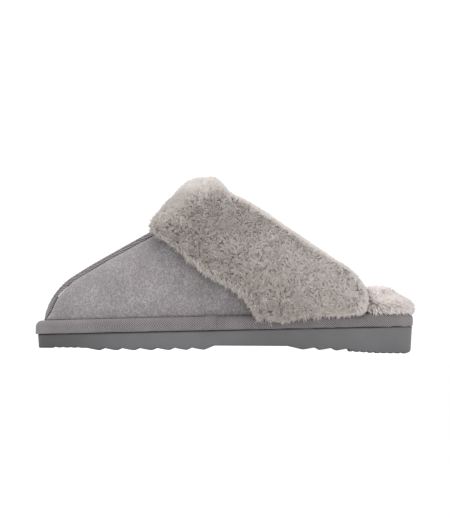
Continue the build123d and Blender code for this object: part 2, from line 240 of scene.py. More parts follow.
def napped_suede(colours):
    """Suede with a brushed nap, cloudy hand marks and a faint warm cast in places."""
    s = Shader("napped_suede")
    place = s.place()
    clouds = s.limit(s.noise(place, 17 * MM, 3.0, 0.6), 0.36, 0.66)
    strokes = s.limit(s.noise(place, 5 * MM, 4.0, 0.7), 0.34, 0.68)
    nap = s.noise(place, 1.3 * MM, 4.0, 0.75)
    light = scaled(colours.suede, 1.2)
    base = s.mix(clouds * 0.4 + strokes * 0.4 + 0.08, tuple(colours.suede_dark), light)
    rosy = s.limit(s.noise(place, 26 * MM, 1.0), 0.52, 0.7)
    base = s.mix(rosy * 0.35, base, tuple(colours.suede_rosy))
    base = s.mix(s.limit(nap, 0.45, 0.55) * 0.72, base, scaled(colours.suede_dark, 0.68))
    normal = s.bump(nap + clouds * 0.3, 0.22 * MM, 0.7)
    return s.finish(base, 0.93 - clouds * 0.1, normal, sheen=0.22, sheen_roughness=0.5, specular=0.15)


def wool(name, colours, lift=1.0, cast=(1.0, 1.0, 1.0)):
    """Wool whose shade follows each lock's own shade, from its root to its tip."""
    s = Shader(name)
    shade = s.node("Attribute", {"attribute_name": "shade"}, output="Fac")
    patches = s.noise(s.place(), 14 * MM, 3.0, 0.6) - 0.5
    level = shade + patches * 0.34
    tints = [tuple(c * lift * k for c, k in zip(tint, cast))
             for tint in (colours.wool_root, colours.wool_middle, colours.wool_tip)]
    base = s.node("ValToRGB", {"stops": ((0.05, tints[0]), (0.5, tints[1]), (0.98, tints[2]))}, {0: level})
    return s.finish(base, 0.88 + patches * 0.1, sheen=0.25, sheen_roughness=0.4, specular=0.2)


def wool_base(colours):
    """Felted mass of the pile under the locks, in painted shade: darker than the locks, darkest in its
    hollows.
    """
    s = Shader("wool_base")
    place = s.place()
    tufts = s.noise(place, 1.6 * MM, 4.0, 0.7)
    # painted shade: the mass under the locks is darker than their middle tone, darkest in the tufts'
    # hollows
    hollow, crest = scaled(colours.wool_middle, 0.5), scaled(colours.wool_middle, 0.85)
    base = s.mix(s.limit(tufts, 0.35, 0.65), hollow, crest)
    return s.finish(base, 0.95 - tufts * 0.05, s.bump(tufts, 0.8 * MM), sheen=0.2, specular=0.1)


def herringbone(name, colours, around, across, rows, contrast=1.0):
    """Woven tape: slanted yarns that turn back at each row, on the piece's own UV map.

    around and across are the tape's length and width, rows the number of turns across it, and contrast
    how much the yarns stand out.
    """
    s = Shader(name)
    uv = s.node("UVMap", {"uv_map": "weave"})
    along = s.part(uv, "X") * around
    turn = (s.part(uv, "Y") * rows).math("PINGPONG", 1.0) * (across / rows)
    yarn = ((along + turn) * (2 * math.pi / YARN_PITCH)).math("SINE")
    picks = ((s.part(uv, "Y") * across) * (2 * math.pi / PICK_PITCH)).math("SINE")
    fuzz = s.noise(s.place(), 0.7 * MM, 2.0)
    wear = s.limit(s.noise(s.place(), 18 * MM, 2.0), 0.35, 0.65)
    raised = yarn * 0.5 + picks * 0.12
    level = raised * (0.85 * contrast) + fuzz * 0.4 + wear * 0.15 + 0.1
    base = s.mix(s.limit(level, 0.0, 1.0), tuple(colours.tape_dark), scaled(colours.tape, 1.1))
    normal = s.bump(raised + fuzz * 0.3, 0.2 * MM)
    return s.finish(base, 0.86 - fuzz * 0.06, normal, sheen=0.15, specular=0.2)


def moulded_foam(name, shade, top_line=None):
    """EVA foam with a fine skin grain.

    A painted shadow from the tape that overhangs the sole shows dark along top_line, which is (height at
    Y=0, rise), and the toe is shaded.
    """
    s = Shader(name)
    place = s.place()
    skin = s.noise(place, 0.9 * MM, 3.0, 0.6)
    scuffs = s.limit(s.noise(place, 30 * MM, 4.0, 0.6), 0.35, 0.7)
    base = s.mix(scuffs * 0.5 + skin * 0.2, scaled(shade, 0.88), scaled(shade, 1.18))
    if top_line:
        toe_shade = s.limit(s.part(place, "Y"), cad_box[0][1], cad_box[0][1] * 0.45)
        base = s.mix(toe_shade, scaled(shade, 0.5), base)
        # painted shadow: a dark band along the top edge, where the platform tape overhangs the sole
        below = s.part(place, "Y") * top_line[1] + top_line[0] - s.part(place, "Z")
        overhang_shadow = 1 - s.limit(below + skin * (0.9 * MM), 0.9 * MM, 1.9 * MM)
        base = s.mix(overhang_shadow * 0.85, base, scaled(shade, 0.22))
    return s.finish(base, 0.62 + skin * 0.12, s.bump(skin, 0.06 * MM, 0.6), specular=0.3)


def twisted_thread(colours):
    s = Shader("twisted_thread")
    ply = s.noise(s.place(), 0.5 * MM, 2.0)
    base = s.mix(ply, scaled(colours.thread, 0.6), scaled(colours.thread, 1.3))
    return s.finish(base, 0.7 + ply * 0.1, s.bump(ply, 0.08 * MM), specular=0.3)


def hide_back(colours):
    s = Shader("hide_back")
    grain = s.noise(s.place(), 1.5 * MM, 4.0, 0.65)
    base = s.mix(s.limit(grain, 0.3, 0.7), scaled(colours.hide, 0.7), tuple(colours.hide))
    return s.finish(base, 0.85 + grain * 0.08, s.bump(grain, 0.15 * MM), specular=0.2)


def fibre_board(colours):
    s = Shader("fibre_board")
    fibre = s.noise(s.place(), 2.2 * MM, 5.0, 0.7)
    base = s.mix(s.limit(fibre, 0.3, 0.7), scaled(colours.board, 0.7), tuple(colours.board))
    return s.finish(base, 0.9 - fibre * 0.05, s.bump(fibre, 0.12 * MM), specular=0.2)


# ---- mesh helpers --------------------------------------------------------------------------------

def add_piece(name, mesh, material, replaced=()):
    """Puts a finished mesh in the scene as a piece that rides on the slipper's body."""
    piece = bpy.data.objects.new(name, mesh)
    bpy.context.scene.collection.objects.link(piece)
    piece.data.materials.clear()
    piece.data.materials.append(material)
    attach(piece, BODY)
    if replaced:
        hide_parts(*replaced)
    return piece


def to_mesh(bm, name, smooth=True):
    """Turns a bmesh into a mesh and frees it."""
    mesh = bpy.data.meshes.new(name)
    bm.to_mesh(mesh)
    bm.free()
    mesh.polygons.foreach_set("use_smooth", [smooth] * len(mesh.polygons))
    return mesh


def merged_copy(*nodes):
    """A bmesh of some CAD nodes' meshes with their loose triangles joined up."""
    bm = bmesh.new()
    for node in nodes:
        bm.from_mesh(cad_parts[node].data)
    bmesh.ops.remove_doubles(bm, verts=bm.verts, dist=0.005 * MM)
    return bm


def surface_of(*nodes):
    """A tree for ray casts against some CAD nodes."""
    bm = merged_copy(*nodes)
    tree = BVHTree.FromBMesh(bm)
    bm.free()
    return tree


def remeshed(name, nodes, voxel):
    """An even quad mesh with the closed shape of some CAD nodes."""
    mesh = to_mesh(merged_copy(*nodes), name)
    holder = bpy.data.objects.new(name, mesh)
    bpy.context.scene.collection.objects.link(holder)
    change = holder.modifiers.new("even", "REMESH")
    change.mode = "VOXEL"
    change.voxel_size = voxel
    evaluated = holder.evaluated_get(bpy.context.evaluated_depsgraph_get())
    even = bpy.data.meshes.new_from_object(evaluated)
    bpy.data.objects.remove(holder)
    return even


def points_of(mesh):
    flat = np.empty(len(mesh.vertices) * 3)
    mesh.vertices.foreach_get("co", flat)
    return flat.reshape(-1, 3)


def normals_of(mesh):
    flat = np.empty(len(mesh.vertices) * 3)
    mesh.vertex_normals.foreach_get("vector", flat)
    return flat.reshape(-1, 3)


def move_points(mesh, points):
    mesh.vertices.foreach_set("co", points.ravel())
    mesh.update()


def relax(bm, verts, rounds):
    """Draws some points of a bmesh halfway towards their neighbours, several times."""
    axes = {f"use_axis_{axis}": True for axis in "xyz"}
    for _ in range(rounds):
        bmesh.ops.smooth_vert(bm, verts=verts, factor=0.5, **axes)


def soften(mesh, rounds):
    """Evens out a mesh."""
    bm = bmesh.new()
    bm.from_mesh(mesh)
    relax(bm, bm.verts, rounds)
    bm.to_mesh(mesh)
    bm.free()


def wavy(points, size, seed):
    """Smooth random vectors at some points, with waves of about the given size, the same on every run."""
    noise.seed_set(seed)            # unseeded, noise_vector starts from the clock
    shift = Vector((seed * 7.3, seed * 3.1, seed * 5.7))
    return np.array([noise.noise_vector(Vector(p) / size + shift) for p in points])


def unit(vectors):
    return vectors / np.maximum(np.linalg.norm(vectors, axis=-1, keepdims=True), 1e-12)


def mapped_grid(name, columns, rows, place, closed=False):
    """A grid whose every corner goes where place(u, v) says, with the grid's own UV map."""
    bm = bmesh.new()
    bm.loops.layers.uv.new("weave")
    bmesh.ops.create_grid(bm, x_segments=columns, y_segments=rows, size=0.5, calc_uvs=True)
    for vert in bm.verts:
        vert.co = place(vert.co.x + 0.5, vert.co.y + 0.5)
    if closed:
        bmesh.ops.remove_doubles(bm, verts=bm.verts, dist=0.02 * MM)
    return to_mesh(bm, name)


def thicken(piece, thickness):
    """Gives a sheet its thickness, on the inside of its face."""
    change = piece.modifiers.new("thickness", "SOLIDIFY")
    change.thickness = thickness
    change.offset = -1.0
    change.use_even_offset = False


# ---- wool ----------------------------------------------------------------------------------------

def lock_template():
    """One lock of wool: a closed three-sided taper of two spans, 1 tall and 1 in radius."""
    bm = bmesh.new()
    bmesh.ops.create_cone(
        bm, cap_ends=True, cap_tris=False, segments=3, radius1=1.0, radius2=0.8, depth=1.0)
    upright = [e for e in bm.edges if abs(e.verts[0].co.z - e.verts[1].co.z) > 0.5]
    bmesh.ops.subdivide_edges(bm, edges=upright, cuts=1, use_grid_fill=False)
    top = [v for v in bm.verts if v.co.z > 0.49]
    bmesh.ops.pointmerge(bm, verts=top, merge_co=(0.0, 0.0, 0.5))
    bmesh.ops.recalc_face_normals(bm, faces=bm.faces)
    bm.verts.index_update()
    points = np.array([v.co for v in bm.verts]) + (0.0, 0.0, 0.5)
    faces = [[v.index for v in f.verts] for f in bm.faces]
    bm.free()
    return points, faces


def plant_locks(name, roots, along, bend, lengths, radius, shade, rough, rng):
    """Repeats the lock over many roots.

    along is its direction at the root, bend how far its tip swings, shade its brightness at the tip and
    rough how deep its shadow is at the root.
    """
    template, faces = lock_template()
    height = template[:, 2]
    count, corners = len(roots), len(template)
    side = unit(np.cross(along, unit(rng.normal(size=(count, 3)))))
    other = np.cross(along, side)
    centre = roots[:, None, :] + lengths[:, None, None] * (
        height[None, :, None] * along[:, None, :] + (height ** 2)[None, :, None] * bend[:, None, :])
    spread = radius[:, None, None] * (
        template[None, :, 0, None] * side[:, None, :] + template[None, :, 1, None] * other[:, None, :])
    points = centre + spread
    mesh = bpy.data.meshes.new(name)
    mesh.vertices.add(count * corners)
    mesh.vertices.foreach_set("co", points.ravel())
    flat = np.concatenate([np.array(f) for f in faces])
    starts = np.cumsum([0] + [len(f) for f in faces])[:-1]
    offsets = np.arange(count)[:, None]
    mesh.loops.add(count * len(flat))
    mesh.loops.foreach_set("vertex_index", (flat[None, :] + offsets * corners).ravel())
    mesh.polygons.add(count * len(faces))
    mesh.polygons.foreach_set("loop_start", (starts[None, :] + offsets * len(flat)).ravel())
    mesh.update(calc_edges=True)
    mesh.polygons.foreach_set("use_smooth", [True] * len(mesh.polygons))
    tone = mesh.attributes.new("shade", "FLOAT", "POINT")
    root_shadow = (0.4 + 0.4 * rough)[:, None] * (1.0 - height ** 0.8)[None, :]
    tone.data.foreach_set("value", (shade[:, None] * (1.0 - root_shadow)).ravel().astype(np.float32))
    return mesh


def evened_normals(mesh, rounds):
    """Normals of a mesh, averaged over neighbours so that they turn slowly round its corners."""
    ends = np.empty(len(mesh.edges) * 2, np.int32)
    mesh.edges.foreach_get("vertices", ends)
    first, second = ends.reshape(-1, 2).T
    normals = normals_of(mesh)
    for _ in range(rounds):
        total = normals.copy()
        np.add.at(total, first, normals[second])
        np.add.at(total, second, normals[first])
        normals = unit(total)
    return normals


def scatter(mesh, count, rng, rounds=0):
    """Random places on a mesh, evenly by area, with the normal at each."""
    mesh.calc_loop_triangles()
    corners = np.empty(len(mesh.loop_triangles) * 3, np.int32)
    mesh.loop_triangles.foreach_get("vertices", corners)
    corners = corners.reshape(-1, 3)
    points, normals = points_of(mesh), evened_normals(mesh, rounds)
    a, b, c = (points[corners[:, k]] for k in range(3))
    area = np.linalg.norm(np.cross(b - a, c - a), axis=1)
    chosen = rng.choice(len(corners), size=count, p=area / area.sum())
    r, t = np.sqrt(rng.random(count)), rng.random(count)
    weights = np.stack([1 - r, r * (1 - t), r * t], axis=1)[:, :, None]
    return (points[corners[chosen]] * weights).sum(1), unit((normals[corners[chosen]] * weights).sum(1))


def is_open(root, normal, covers, near):
    """True where nothing lies over a root within the distance near."""
    for tree in covers:
        if tree.ray_cast(Vector(root) + Vector(normal) * 0.2 * MM, Vector(normal), near)[0] is not None:
            return False
    return True


def felted_body(name, nodes, voxel, set_in, lump, lump_size, seed, rounds=3, resting=False):
    """The mass of a pile: a CAD shape drawn in, evened and made lumpy.

    A resting body keeps its place underneath and in front, where it lies against its neighbours.
    """
    mesh = remeshed(name, nodes, voxel)
    points, normals = points_of(mesh), normals_of(mesh)
    swell = wavy(points, lump_size, seed)[:, :1] * lump
    if resting:
        free = np.clip(1.0 + 1.5 * np.minimum(normals[:, 1], normals[:, 2]), 0.0, 1.0)[:, None]
        swell, set_in = swell * free, set_in * free
    move_points(mesh, points + normals * (swell - set_in))
    soften(mesh, rounds)
    mesh.polygons.foreach_set("use_smooth", [True] * len(mesh.polygons))
    return mesh


def fleece(name, parts, base, covers, stops, material, count, pile, radius, seed,
           comb=(0.0, 0.0, -0.3), keep=None, brighter=None, rough=None, hem=None, near=9 * MM, evening=14):
    """Locks over the open side of a felted body, in a few pieces.

    covers hide the roots that they lie over within near, stops shorten locks that would run into them, and
    comb is the lay of the pile. keep, brighter and rough (from 0 for smooth pile to 1) are functions of the
    roots, hem gives the lowest height of the tips at a station, and evening is how often the normals are
    averaged.
    """
    rng = np.random.default_rng(seed)
    spare = 1.9                     # places drawn for each lock, as many are covered
    roots, normals = scatter(base, int(count * spare), rng, evening)
    wanted = np.ones(len(roots), bool) if keep is None else keep(roots, normals)
    roots, normals = roots[wanted], normals[wanted]
    seen = np.array([is_open(r, n, covers, near) for r, n in zip(roots, normals)])
    roots, normals = roots[seen][:count], normals[seen][:count]
    total = len(roots)
    rough_here = np.ones(total) if rough is None else rough(roots)
    tufts = wavy(roots, TUFT_SIZE, seed)
    swirl = wavy(roots, SWIRL_SIZE, seed + 1)
    lay = np.tile(np.array(comb), (total, 1))
    if hem is not None:
        fringe = np.clip(1.0 - (roots[:, 2] - hem(roots[:, 1])) / (2.5 * pile), 0.0, 1.0)
        lay[:, 2] -= 0.9 * fringe
    lay = lay - normals * (lay * normals).sum(1, keepdims=True)
    ruffle = (0.3 + 0.7 * rough_here)[:, None]
    lean = 0.5 * tufts + 0.13 * rng.normal(size=(total, 3))
    along = unit(normals + ruffle * lean + 0.25 * swirl + 0.6 * lay)
    bend = 0.45 * lay + ruffle * (0.3 * tufts + 0.2 * rng.normal(size=(total, 3)))
    uneven = rng.normal(0.0, 0.13, total) + 0.3 * tufts[:, 0]
    lengths = pile * np.clip(1.0 + ruffle[:, 0] * uneven, 0.6, 1.35)
    if hem is not None:
        falls = np.minimum((along + bend)[:, 2], -0.05)
        ragged = 1.3 * MM * (rng.normal(size=total) + 2.0 * wavy(roots, FRINGE_SIZE, seed + 2)[:, 0])
        room = roots[:, 2] - (hem(roots[:, 1]) + ragged - 0.6 * MM)
        near_hem = np.clip(1.0 - room / (3.0 * pile), 0.0, 1.0)
        lengths = np.minimum(lengths * (1.0 + 0.4 * near_hem), np.maximum(room / -falls, 0.35 * pile))
    for k in range(total):
        reach = Vector(along[k] + bend[k])
        far = lengths[k] * reach.length
        start = Vector(roots[k]) + Vector(normals[k]) * 0.3 * MM
        for tree in stops:
            hit = tree.ray_cast(start, reach.normalized(), far)
            if hit[0] is not None:
                lengths[k] *= max(0.3, 0.85 * hit[3] / far)
                far = lengths[k] * reach.length
    speckle = rng.normal(0.0, 0.15, total) + 0.3 * tufts[:, 1]
    shade = np.clip(0.68 + ruffle[:, 0] * speckle + 0.12 * swirl[:, 2], 0.15, 1.1)
    if brighter is not None:
        shade = shade + brighter(roots)
    thickness = radius * rng.uniform(0.75, 1.3, total)
    order = np.argsort(roots[:, 1], kind="stable")
    for number, chosen in enumerate(np.array_split(order, parts), 1):
        mesh = plant_locks(f"{name}_{number}", roots[chosen], along[chosen], bend[chosen],
                           lengths[chosen], thickness[chosen], shade[chosen], rough_here[chosen], rng)
        add_piece(f"{name}_{number}", mesh, material)


# ---- shapes read from the frame ------------------------------------------------------------------

def seam_plane():
    """X of the centre seam."""
    low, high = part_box("centre_seam_tape")
    return (low.x + high.x) / 2


def seam_sink(point, seam, floor):
    """How far the upper sinks at a point beside the centre seam; floor is the height of its lower edge."""
    away = min(1.0, max(0.0, (abs(point.x - seam) - SEAM_FLAT) / (SEAM_REACH - SEAM_FLAT)))
    risen = min(1.0, max(0.0, (point.z - floor) / SEAM_START))
    return SEAM_SINK * (1.0 - away * away * (3.0 - 2.0 * away)) * risen


def plane_over(node, lift=0.0):
    """Height at Y=0 and rise per metre of a node's sloping top."""
    tree = surface_of(node)
    low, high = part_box(node)
    front, rear = low.y * 0.8, high.y * 0.8         # clear of its rounded ends
    heights = []
    for y in (front, rear):
        hit = tree.ray_cast(Vector((seam_plane(), y, high.z + 0.05)), Vector((0, 0, -1)))
        heights.append(hit[0].z)
    rise = (heights[1] - heights[0]) / (rear - front)
    return heights[0] - rise * front + lift, rise


def resampled(points, count, closed=False):
    """Points at even spacing along a line, and the line's length."""
    line = np.array([tuple(p) for p in points])
    if closed:
        line = np.vstack([line, line[:1]])
    lengths = np.concatenate([[0.0], np.cumsum(np.linalg.norm(np.diff(line, axis=0), axis=1))])
    at = np.linspace(0.0, lengths[-1], count + 1)
    return np.stack([np.interp(at, lengths, line[:, k]) for k in range(3)], axis=1), lengths[-1]


def make_inner_layers(colours):
    """Finishes for the CAD pieces that keep their own shape."""
    finishes = {
        "midsole": moulded_foam("midsole_foam", scaled(colours.outsole, 1.6)),
        "cushion_foam": moulded_foam("cushion_foam", scaled(colours.board, 1.5)),
        "bottom_filler": fibre_board(colours),
        "insole_board": fibre_board(colours),
        "footbed_skin": hide_back(colours),
        "cuff_skin": hide_back(colours),
    }
    thread = twisted_thread(colours)
    for node in ("platform_stitches", "topline_stitches"):
        finishes[node] = thread
    for node, material in finishes.items():
        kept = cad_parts[node]
        kept.data.materials.clear()
        kept.data.materials.append(material)


def make_outsole(colours):
    """Moulded sole unit with softened tread edges."""
    mesh = remeshed("outsole_unit", ["outsole"], 0.85 * MM)
    moulded = surface_of("outsole")
    move_points(mesh, np.array([moulded.find_nearest(Vector(p))[0] for p in points_of(mesh)]))
    mesh.polygons.foreach_set("use_smooth", [True] * len(mesh.polygons))
    material = moulded_foam("outsole_foam", tuple(colours.outsole), plane_over("outsole"))
    add_piece("outsole_unit", mesh, material, ["outsole"])


def make_panel(name, node, side, sizes, material):
    """One suede panel, from the centre seam down to the platform."""
    tree = surface_of(node)
    low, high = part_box(node)
    seam = seam_plane()
    base_height, base_rise = plane_over("midsole", 1.0 * MM)
    columns, rows = 150, 64
    crowding = 1.8                  # above 1, the columns stand closer at the toe
    halvings = 22                   # of the search for the panel's upper edge
    slow_size, slow_depth = 24 * MM, 0.45 * MM
    fine_size, fine_depth = 7 * MM, 0.1 * MM
    from_side = Vector((-side, 0, 0))

    def face_at(y, z):
        hit = tree.ray_cast(Vector((seam + side * OUTWARD_LENGTH, y, z)), from_side)
        return None if hit[0] is None else hit[0].x

    def top_at(y):
        bottom, top = base_height + base_rise * y, high.z + 5 * MM
        for _ in range(halvings):
            middle = (bottom + top) / 2
            if face_at(y, middle) is None:
                top = middle
            else:
                bottom = middle
        return bottom

    first, last = low.y + 0.15 * MM, high.y - 0.1 * MM
    stations = [first + (last - first) * (k / columns) ** crowding for k in range(columns + 1)]
    tops = [top_at(y) for y in stations]
    places = {}
    for i, y in enumerate(stations):
        start = base_height + base_rise * y + 0.15 * MM
        for j in range(rows + 1):
            z = start + (tops[i] - start) * math.sin(j / rows * math.pi / 2)
            x = face_at(y, min(z, tops[i] - 0.01 * MM))
            places[i, j] = Vector((seam if x is None else x, y, z))

    def place(u, v):
        return places[round(u * columns), round(v * rows)]

    mesh = mapped_grid(name, columns, rows, place)
    bm = bmesh.new()
    bm.from_mesh(mesh)
    relax(bm, [v for v in bm.verts if not v.is_boundary], 30)
    bmesh.ops.recalc_face_normals(bm, faces=bm.faces)
    if sum(f.normal.x * side for f in bm.faces) < 0:
        bmesh.ops.reverse_faces(bm, faces=bm.faces)
    bm.normal_update()
    for v in bm.verts:
        slow = noise.noise(v.co / slow_size) * slow_depth
        fine = noise.noise(v.co / fine_size) * fine_depth
        sink = seam_sink(v.co, seam, low.z)
        v.co += v.normal * ((slow + fine) * (1.0 - sink / SEAM_SINK) - sink)
    bm.to_mesh(mesh)
    bm.free()
    piece = add_piece(name, mesh, material, [node])
    thicken(piece, sizes.suede_thickness)


def make_seam_tape(sizes, colours):
    """Woven tape over the centre seam, from the toe to the cuff."""
    tree = surface_of("centre_seam_tape")
    low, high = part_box("centre_seam_tape")
    width = high.x - low.x
    seam = seam_plane()
    columns, rows = 300, 12
    middle_y, middle_z = low.y * 0.5, low.z + 4 * MM
    looks = 240
    look_from, look_turn = 1.02 * math.pi, 0.62 * math.pi       # from just under the toe to past the cuff
    evenings = 260                                              # takes the steps out of the CAD's facets
    rib_pitch, rib_depth = 1.9 * MM, 0.09 * MM
    profiles = []
    for j in range(rows + 1):
        x = seam + (j / rows - 0.5) * (width - 0.1 * MM)
        line = []
        for k in range(looks + 1):
            angle = look_from - look_turn * k / looks
            aim = Vector((0, math.cos(angle), math.sin(angle)))
            start = Vector((x, middle_y, middle_z)) + aim * OUTWARD_LENGTH
            hit = tree.ray_cast(start, -aim)
            if hit[0] is not None:
                line.append(hit[0])
        even = resampled(line, columns)[0]
        for _ in range(evenings):
            even[1:-1] = (even[:-2] + 2 * even[1:-1] + even[2:]) / 4
        profiles.append(even)
    length = resampled([Vector(p) for p in profiles[rows // 2]], columns)[1]

    def place(u, v):
        return Vector(profiles[round(v * rows)][round(u * columns)])

    mesh = mapped_grid("seam_tape", columns, rows, place)
    bm = bmesh.new()
    bm.from_mesh(mesh)
    relax(bm, [v for v in bm.verts if not v.is_boundary], 10)
    bmesh.ops.recalc_face_normals(bm, faces=bm.faces)
    if sum(f.normal.z for f in bm.faces) < 0:
        bmesh.ops.reverse_faces(bm, faces=bm.faces)
    bm.normal_update()
    for v in bm.verts:
        across = min(1.0, abs(v.co.x - seam) / (width / 2))
        ribs = math.sin(v.co.y / rib_pitch * 2 * math.pi) * rib_depth
        sink = seam_sink(v.co, seam, low.z)
        v.co += v.normal * (ribs + SEAM_RISE * (1 - across ** 2) * sink / SEAM_SINK - sink)
    bm.to_mesh(mesh)
    bm.free()
    material = herringbone("seam_tape_weave", colours, length, width, rows=2, contrast=1.5)
    piece = add_piece("seam_tape", mesh, material, ["centre_seam_tape"])
    thicken(piece, sizes.tape_thickness)
    return piece


def make_seam_stitches(colours, tape):
    """Raised stitches along both edges of the seam tape, where the CAD threads run."""
    half_length, half_width, half_height = 1.45 * MM, 0.42 * MM, 0.34 * MM
    proud = 0.12 * MM               # height of a stitch's middle over the tape
    bed = BVHTree.FromObject(tape, bpy.context.evaluated_depsgraph_get())
    material = twisted_thread(colours)
    template = bmesh.new()
    bmesh.ops.create_uvsphere(template, u_segments=8, v_segments=6, radius=1.0)
    shape = to_mesh(template, "stitch")
    for side in ("left", "right"):
        node = f"centre_stitches_{side}"
        threads = merged_copy(node)
        bm = bmesh.new()
        for points in islands(threads):
            middle = points.mean(0)
            run = np.linalg.svd(points - middle)[2][0]
            hit = bed.find_nearest(Vector(middle))
            if hit[0] is None:
                continue
            lift = hit[1] if hit[1].dot(Vector(middle) - hit[0]) > 0 else -hit[1]
            along = (Vector(run) - lift * lift.dot(Vector(run))).normalized()
            turn = Matrix((along, lift.cross(along), lift)).transposed()
            first = len(bm.verts)
            bm.from_mesh(shape)
            bm.verts.ensure_lookup_table()
            for vert in bm.verts[first:]:
                local = Vector((vert.co.x * half_length, vert.co.y * half_width, vert.co.z * half_height))
                vert.co = hit[0] + lift * proud + turn @ local
        threads.free()
        add_piece(f"seam_stitches_{side}", to_mesh(bm, node), material, [node])
    bpy.data.meshes.remove(shape)


def islands(bm):
    """The separate shells of a bmesh in the order of its points, each as an array of them."""
    left = set(bm.verts)
    for start in bm.verts:
        if start not in left:
            continue
        left.discard(start)
        shell, queue = [start], [start]
        while queue:
            for edge in queue.pop().link_edges:
                for vert in edge.verts:
                    if vert in left:
                        left.discard(vert)
                        shell.append(vert)
                        queue.append(vert)
        yield np.array([v.co for v in shell])


def make_wrap_tape(sizes, colours):
    """Woven tape round the platform, turned over its rounded upper edge, with the overlap join."""
    tree = surface_of("platform_wrap_tape")
    low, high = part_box("platform_wrap_tape")
    top_height, rise = plane_over("midsole", 1.0 * MM)
    foot_height, foot_rise = plane_over("outsole")
    height = top_height - foot_height
    middle = Vector(((low.x + high.x) / 2, (low.y + high.y) / 2, 0))
    ring, looks = [], 720
    for k in range(looks):
        angle = k / looks * 2 * math.pi
        aim = Vector((math.cos(angle), math.sin(angle), 0))
        far = middle + Vector((aim.x * (high.x - low.x), aim.y * (high.y - low.y), 0)) / 2
        for _ in range(3):
            level = foot_height + foot_rise * far.y + height * 0.2
            start = middle + aim * OUTWARD_LENGTH
            start.z = level
            hit = tree.ray_cast(start, -aim)
            far = hit[0]
        ring.append(Vector((hit[0].x, hit[0].y, 0)))
    columns = 1320
    loop, length = resampled(ring, columns, closed=True)
    loop = loop[:-1]
    step = np.roll(loop, -3, axis=0) - np.roll(loop, 3, axis=0)
    outward = unit(np.stack([step[:, 1], -step[:, 0], np.zeros(columns)], axis=1))
    for _ in range(12):
        outward = unit(outward + np.roll(outward, 1, axis=0) + np.roll(outward, -1, axis=0))
    bend, bend_spans = 4.8 * MM, 9          # radius of the turn over the platform's upper edge
    straight = 4                            # spans of the upright face
    lap_from, lap_to = -15.5 * MM, -6.0 * MM
    lap_rise, lap_slope, lap_slant = 0.75 * MM, 0.9 * MM, 0.35
    wave_size, wave_depth = 16 * MM, 0.22 * MM
    edge_size, edge_depth = 9 * MM, 0.2 * MM
    # Each point of the profile is (distance in from the face, height).
    profile = [(4.0 * MM, 0.15 * MM), (1.2 * MM, 0.1 * MM), (0.25 * MM, 0.25 * MM), (0.0, 0.9 * MM)]
    for k in range(1, straight + 1):
        profile.append((0.0, 0.9 * MM + (height - bend - 0.9 * MM) * k / straight))
    for k in range(1, bend_spans + 1):
        turn = k / bend_spans * math.pi / 2
        profile.append((bend * (1 - math.cos(turn)), height - bend + bend * math.sin(turn)))
    profile += [(6.5 * MM, height), (9.0 * MM, height - 0.1 * MM)]
    rows = len(profile) - 1
    width = sum(math.dist(a, b) for a, b in zip(profile, profile[1:]))

    def place(u, v):
        i, j = round(u * columns) % columns, round(v * rows)
        set_in, up = profile[j]
        at, out = loop[i], outward[i]
        wave = wave_depth * noise.noise(Vector((at[0], at[1], up * 3)) / wave_size)
        slant = (up - height / 2) * lap_slant
        lap = 0.0
        if at[0] > 0 and j > 1:
            inside = min(at[1] - slant - lap_from, lap_to - at[1] + slant) / lap_slope
            lap = lap_rise * min(1.0, max(0.0, inside))
        lift = lap * min(1.0, set_in / bend)
        out_by = lap * (1 - min(1.0, set_in / bend)) - set_in + wave
        level = foot_height + foot_rise * at[1] + up + lift
        level += edge_depth * noise.noise(Vector((at[0], at[1], 0)) / edge_size) * (1 - up / height)
        return Vector((at[0] + out[0] * out_by, at[1] + out[1] * out_by, level))

    mesh = mapped_grid("wrap_tape", columns, rows, place, closed=True)
    bm = bmesh.new()
    bm.from_mesh(mesh)
    bmesh.ops.recalc_face_normals(bm, faces=bm.faces)
    outer = max(bm.faces, key=lambda f: f.calc_center_median().x)
    if outer.normal.x < 0:
        bmesh.ops.reverse_faces(bm, faces=bm.faces)
    bm.to_mesh(mesh)
    bm.free()
    material = herringbone("wrap_tape_weave", colours, length, width, rows=3)
    piece = add_piece("wrap_tape", mesh, material, ["platform_wrap_tape"])
    thicken(piece, sizes.tape_thickness)


def make_lining(sizes, colours):
    """Wool lining inside both halves of the upper."""
    base_material = wool_base(colours)
    lock_material = wool("lining_wool", colours, 1.05)
    foot_space = surface_of("vamp_left", "vamp_right")
    floor = surface_of("footbed_wool")
    tape, seam = surface_of("centre_seam_tape"), seam_plane()
    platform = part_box("vamp_left")[0].z
    for number, side in enumerate(("left", "right")):
        mesh = felted_body(
            f"lining_{side}_base", [f"lining_{side}"], voxel=1.5 * MM, set_in=0.5 * MM, lump=0.3 * MM,
            lump_size=8 * MM, seed=11 + number)
        for vert in mesh.vertices:
            sink = seam_sink(vert.co, seam, platform)
            if sink > 0.0:
                out = tape.find_nearest(vert.co)[1]
                out = Vector((0.0, -abs(out.y), abs(out.z))).normalized()
                vert.co -= out * sink * LINING_SINK
        base = add_piece(f"lining_{side}_base", mesh, base_material, [f"lining_{side}"])
        fleece(f"lining_{side}_pile", 1, mesh, [foot_space], [foot_space, floor], lock_material,
               sizes.lining_strands, sizes.lining_pile, sizes.strand_radius * 1.3,
               seed=21 + number, comb=(0.0, 0.3, 0.2), near=4 * MM,
               keep=lambda roots, normals: roots[:, 1] > -75 * MM)


def hem_line(node):
    """Lowest height of a node on the slipper's left side, as a function of the station."""
    samples, step = 60000, 2.0 * MM
    mesh = to_mesh(merged_copy(node), "hem")
    points, _ = scatter(mesh, samples, np.random.default_rng(1))
    points = points[points[:, 0] > 0.0]
    bins = np.arange(points[:, 1].min(), points[:, 1].max(), step)
    place = np.digitize(points[:, 1], bins)
    slices = [points[place == k] for k in range(1, len(bins) + 1) if (place == k).any()]
    stations = [part[:, 1].mean() for part in slices]
    heights = [part[:, 2].min() for part in slices]
    bpy.data.meshes.remove(mesh)
    return lambda y: np.interp(y, stations, heights)


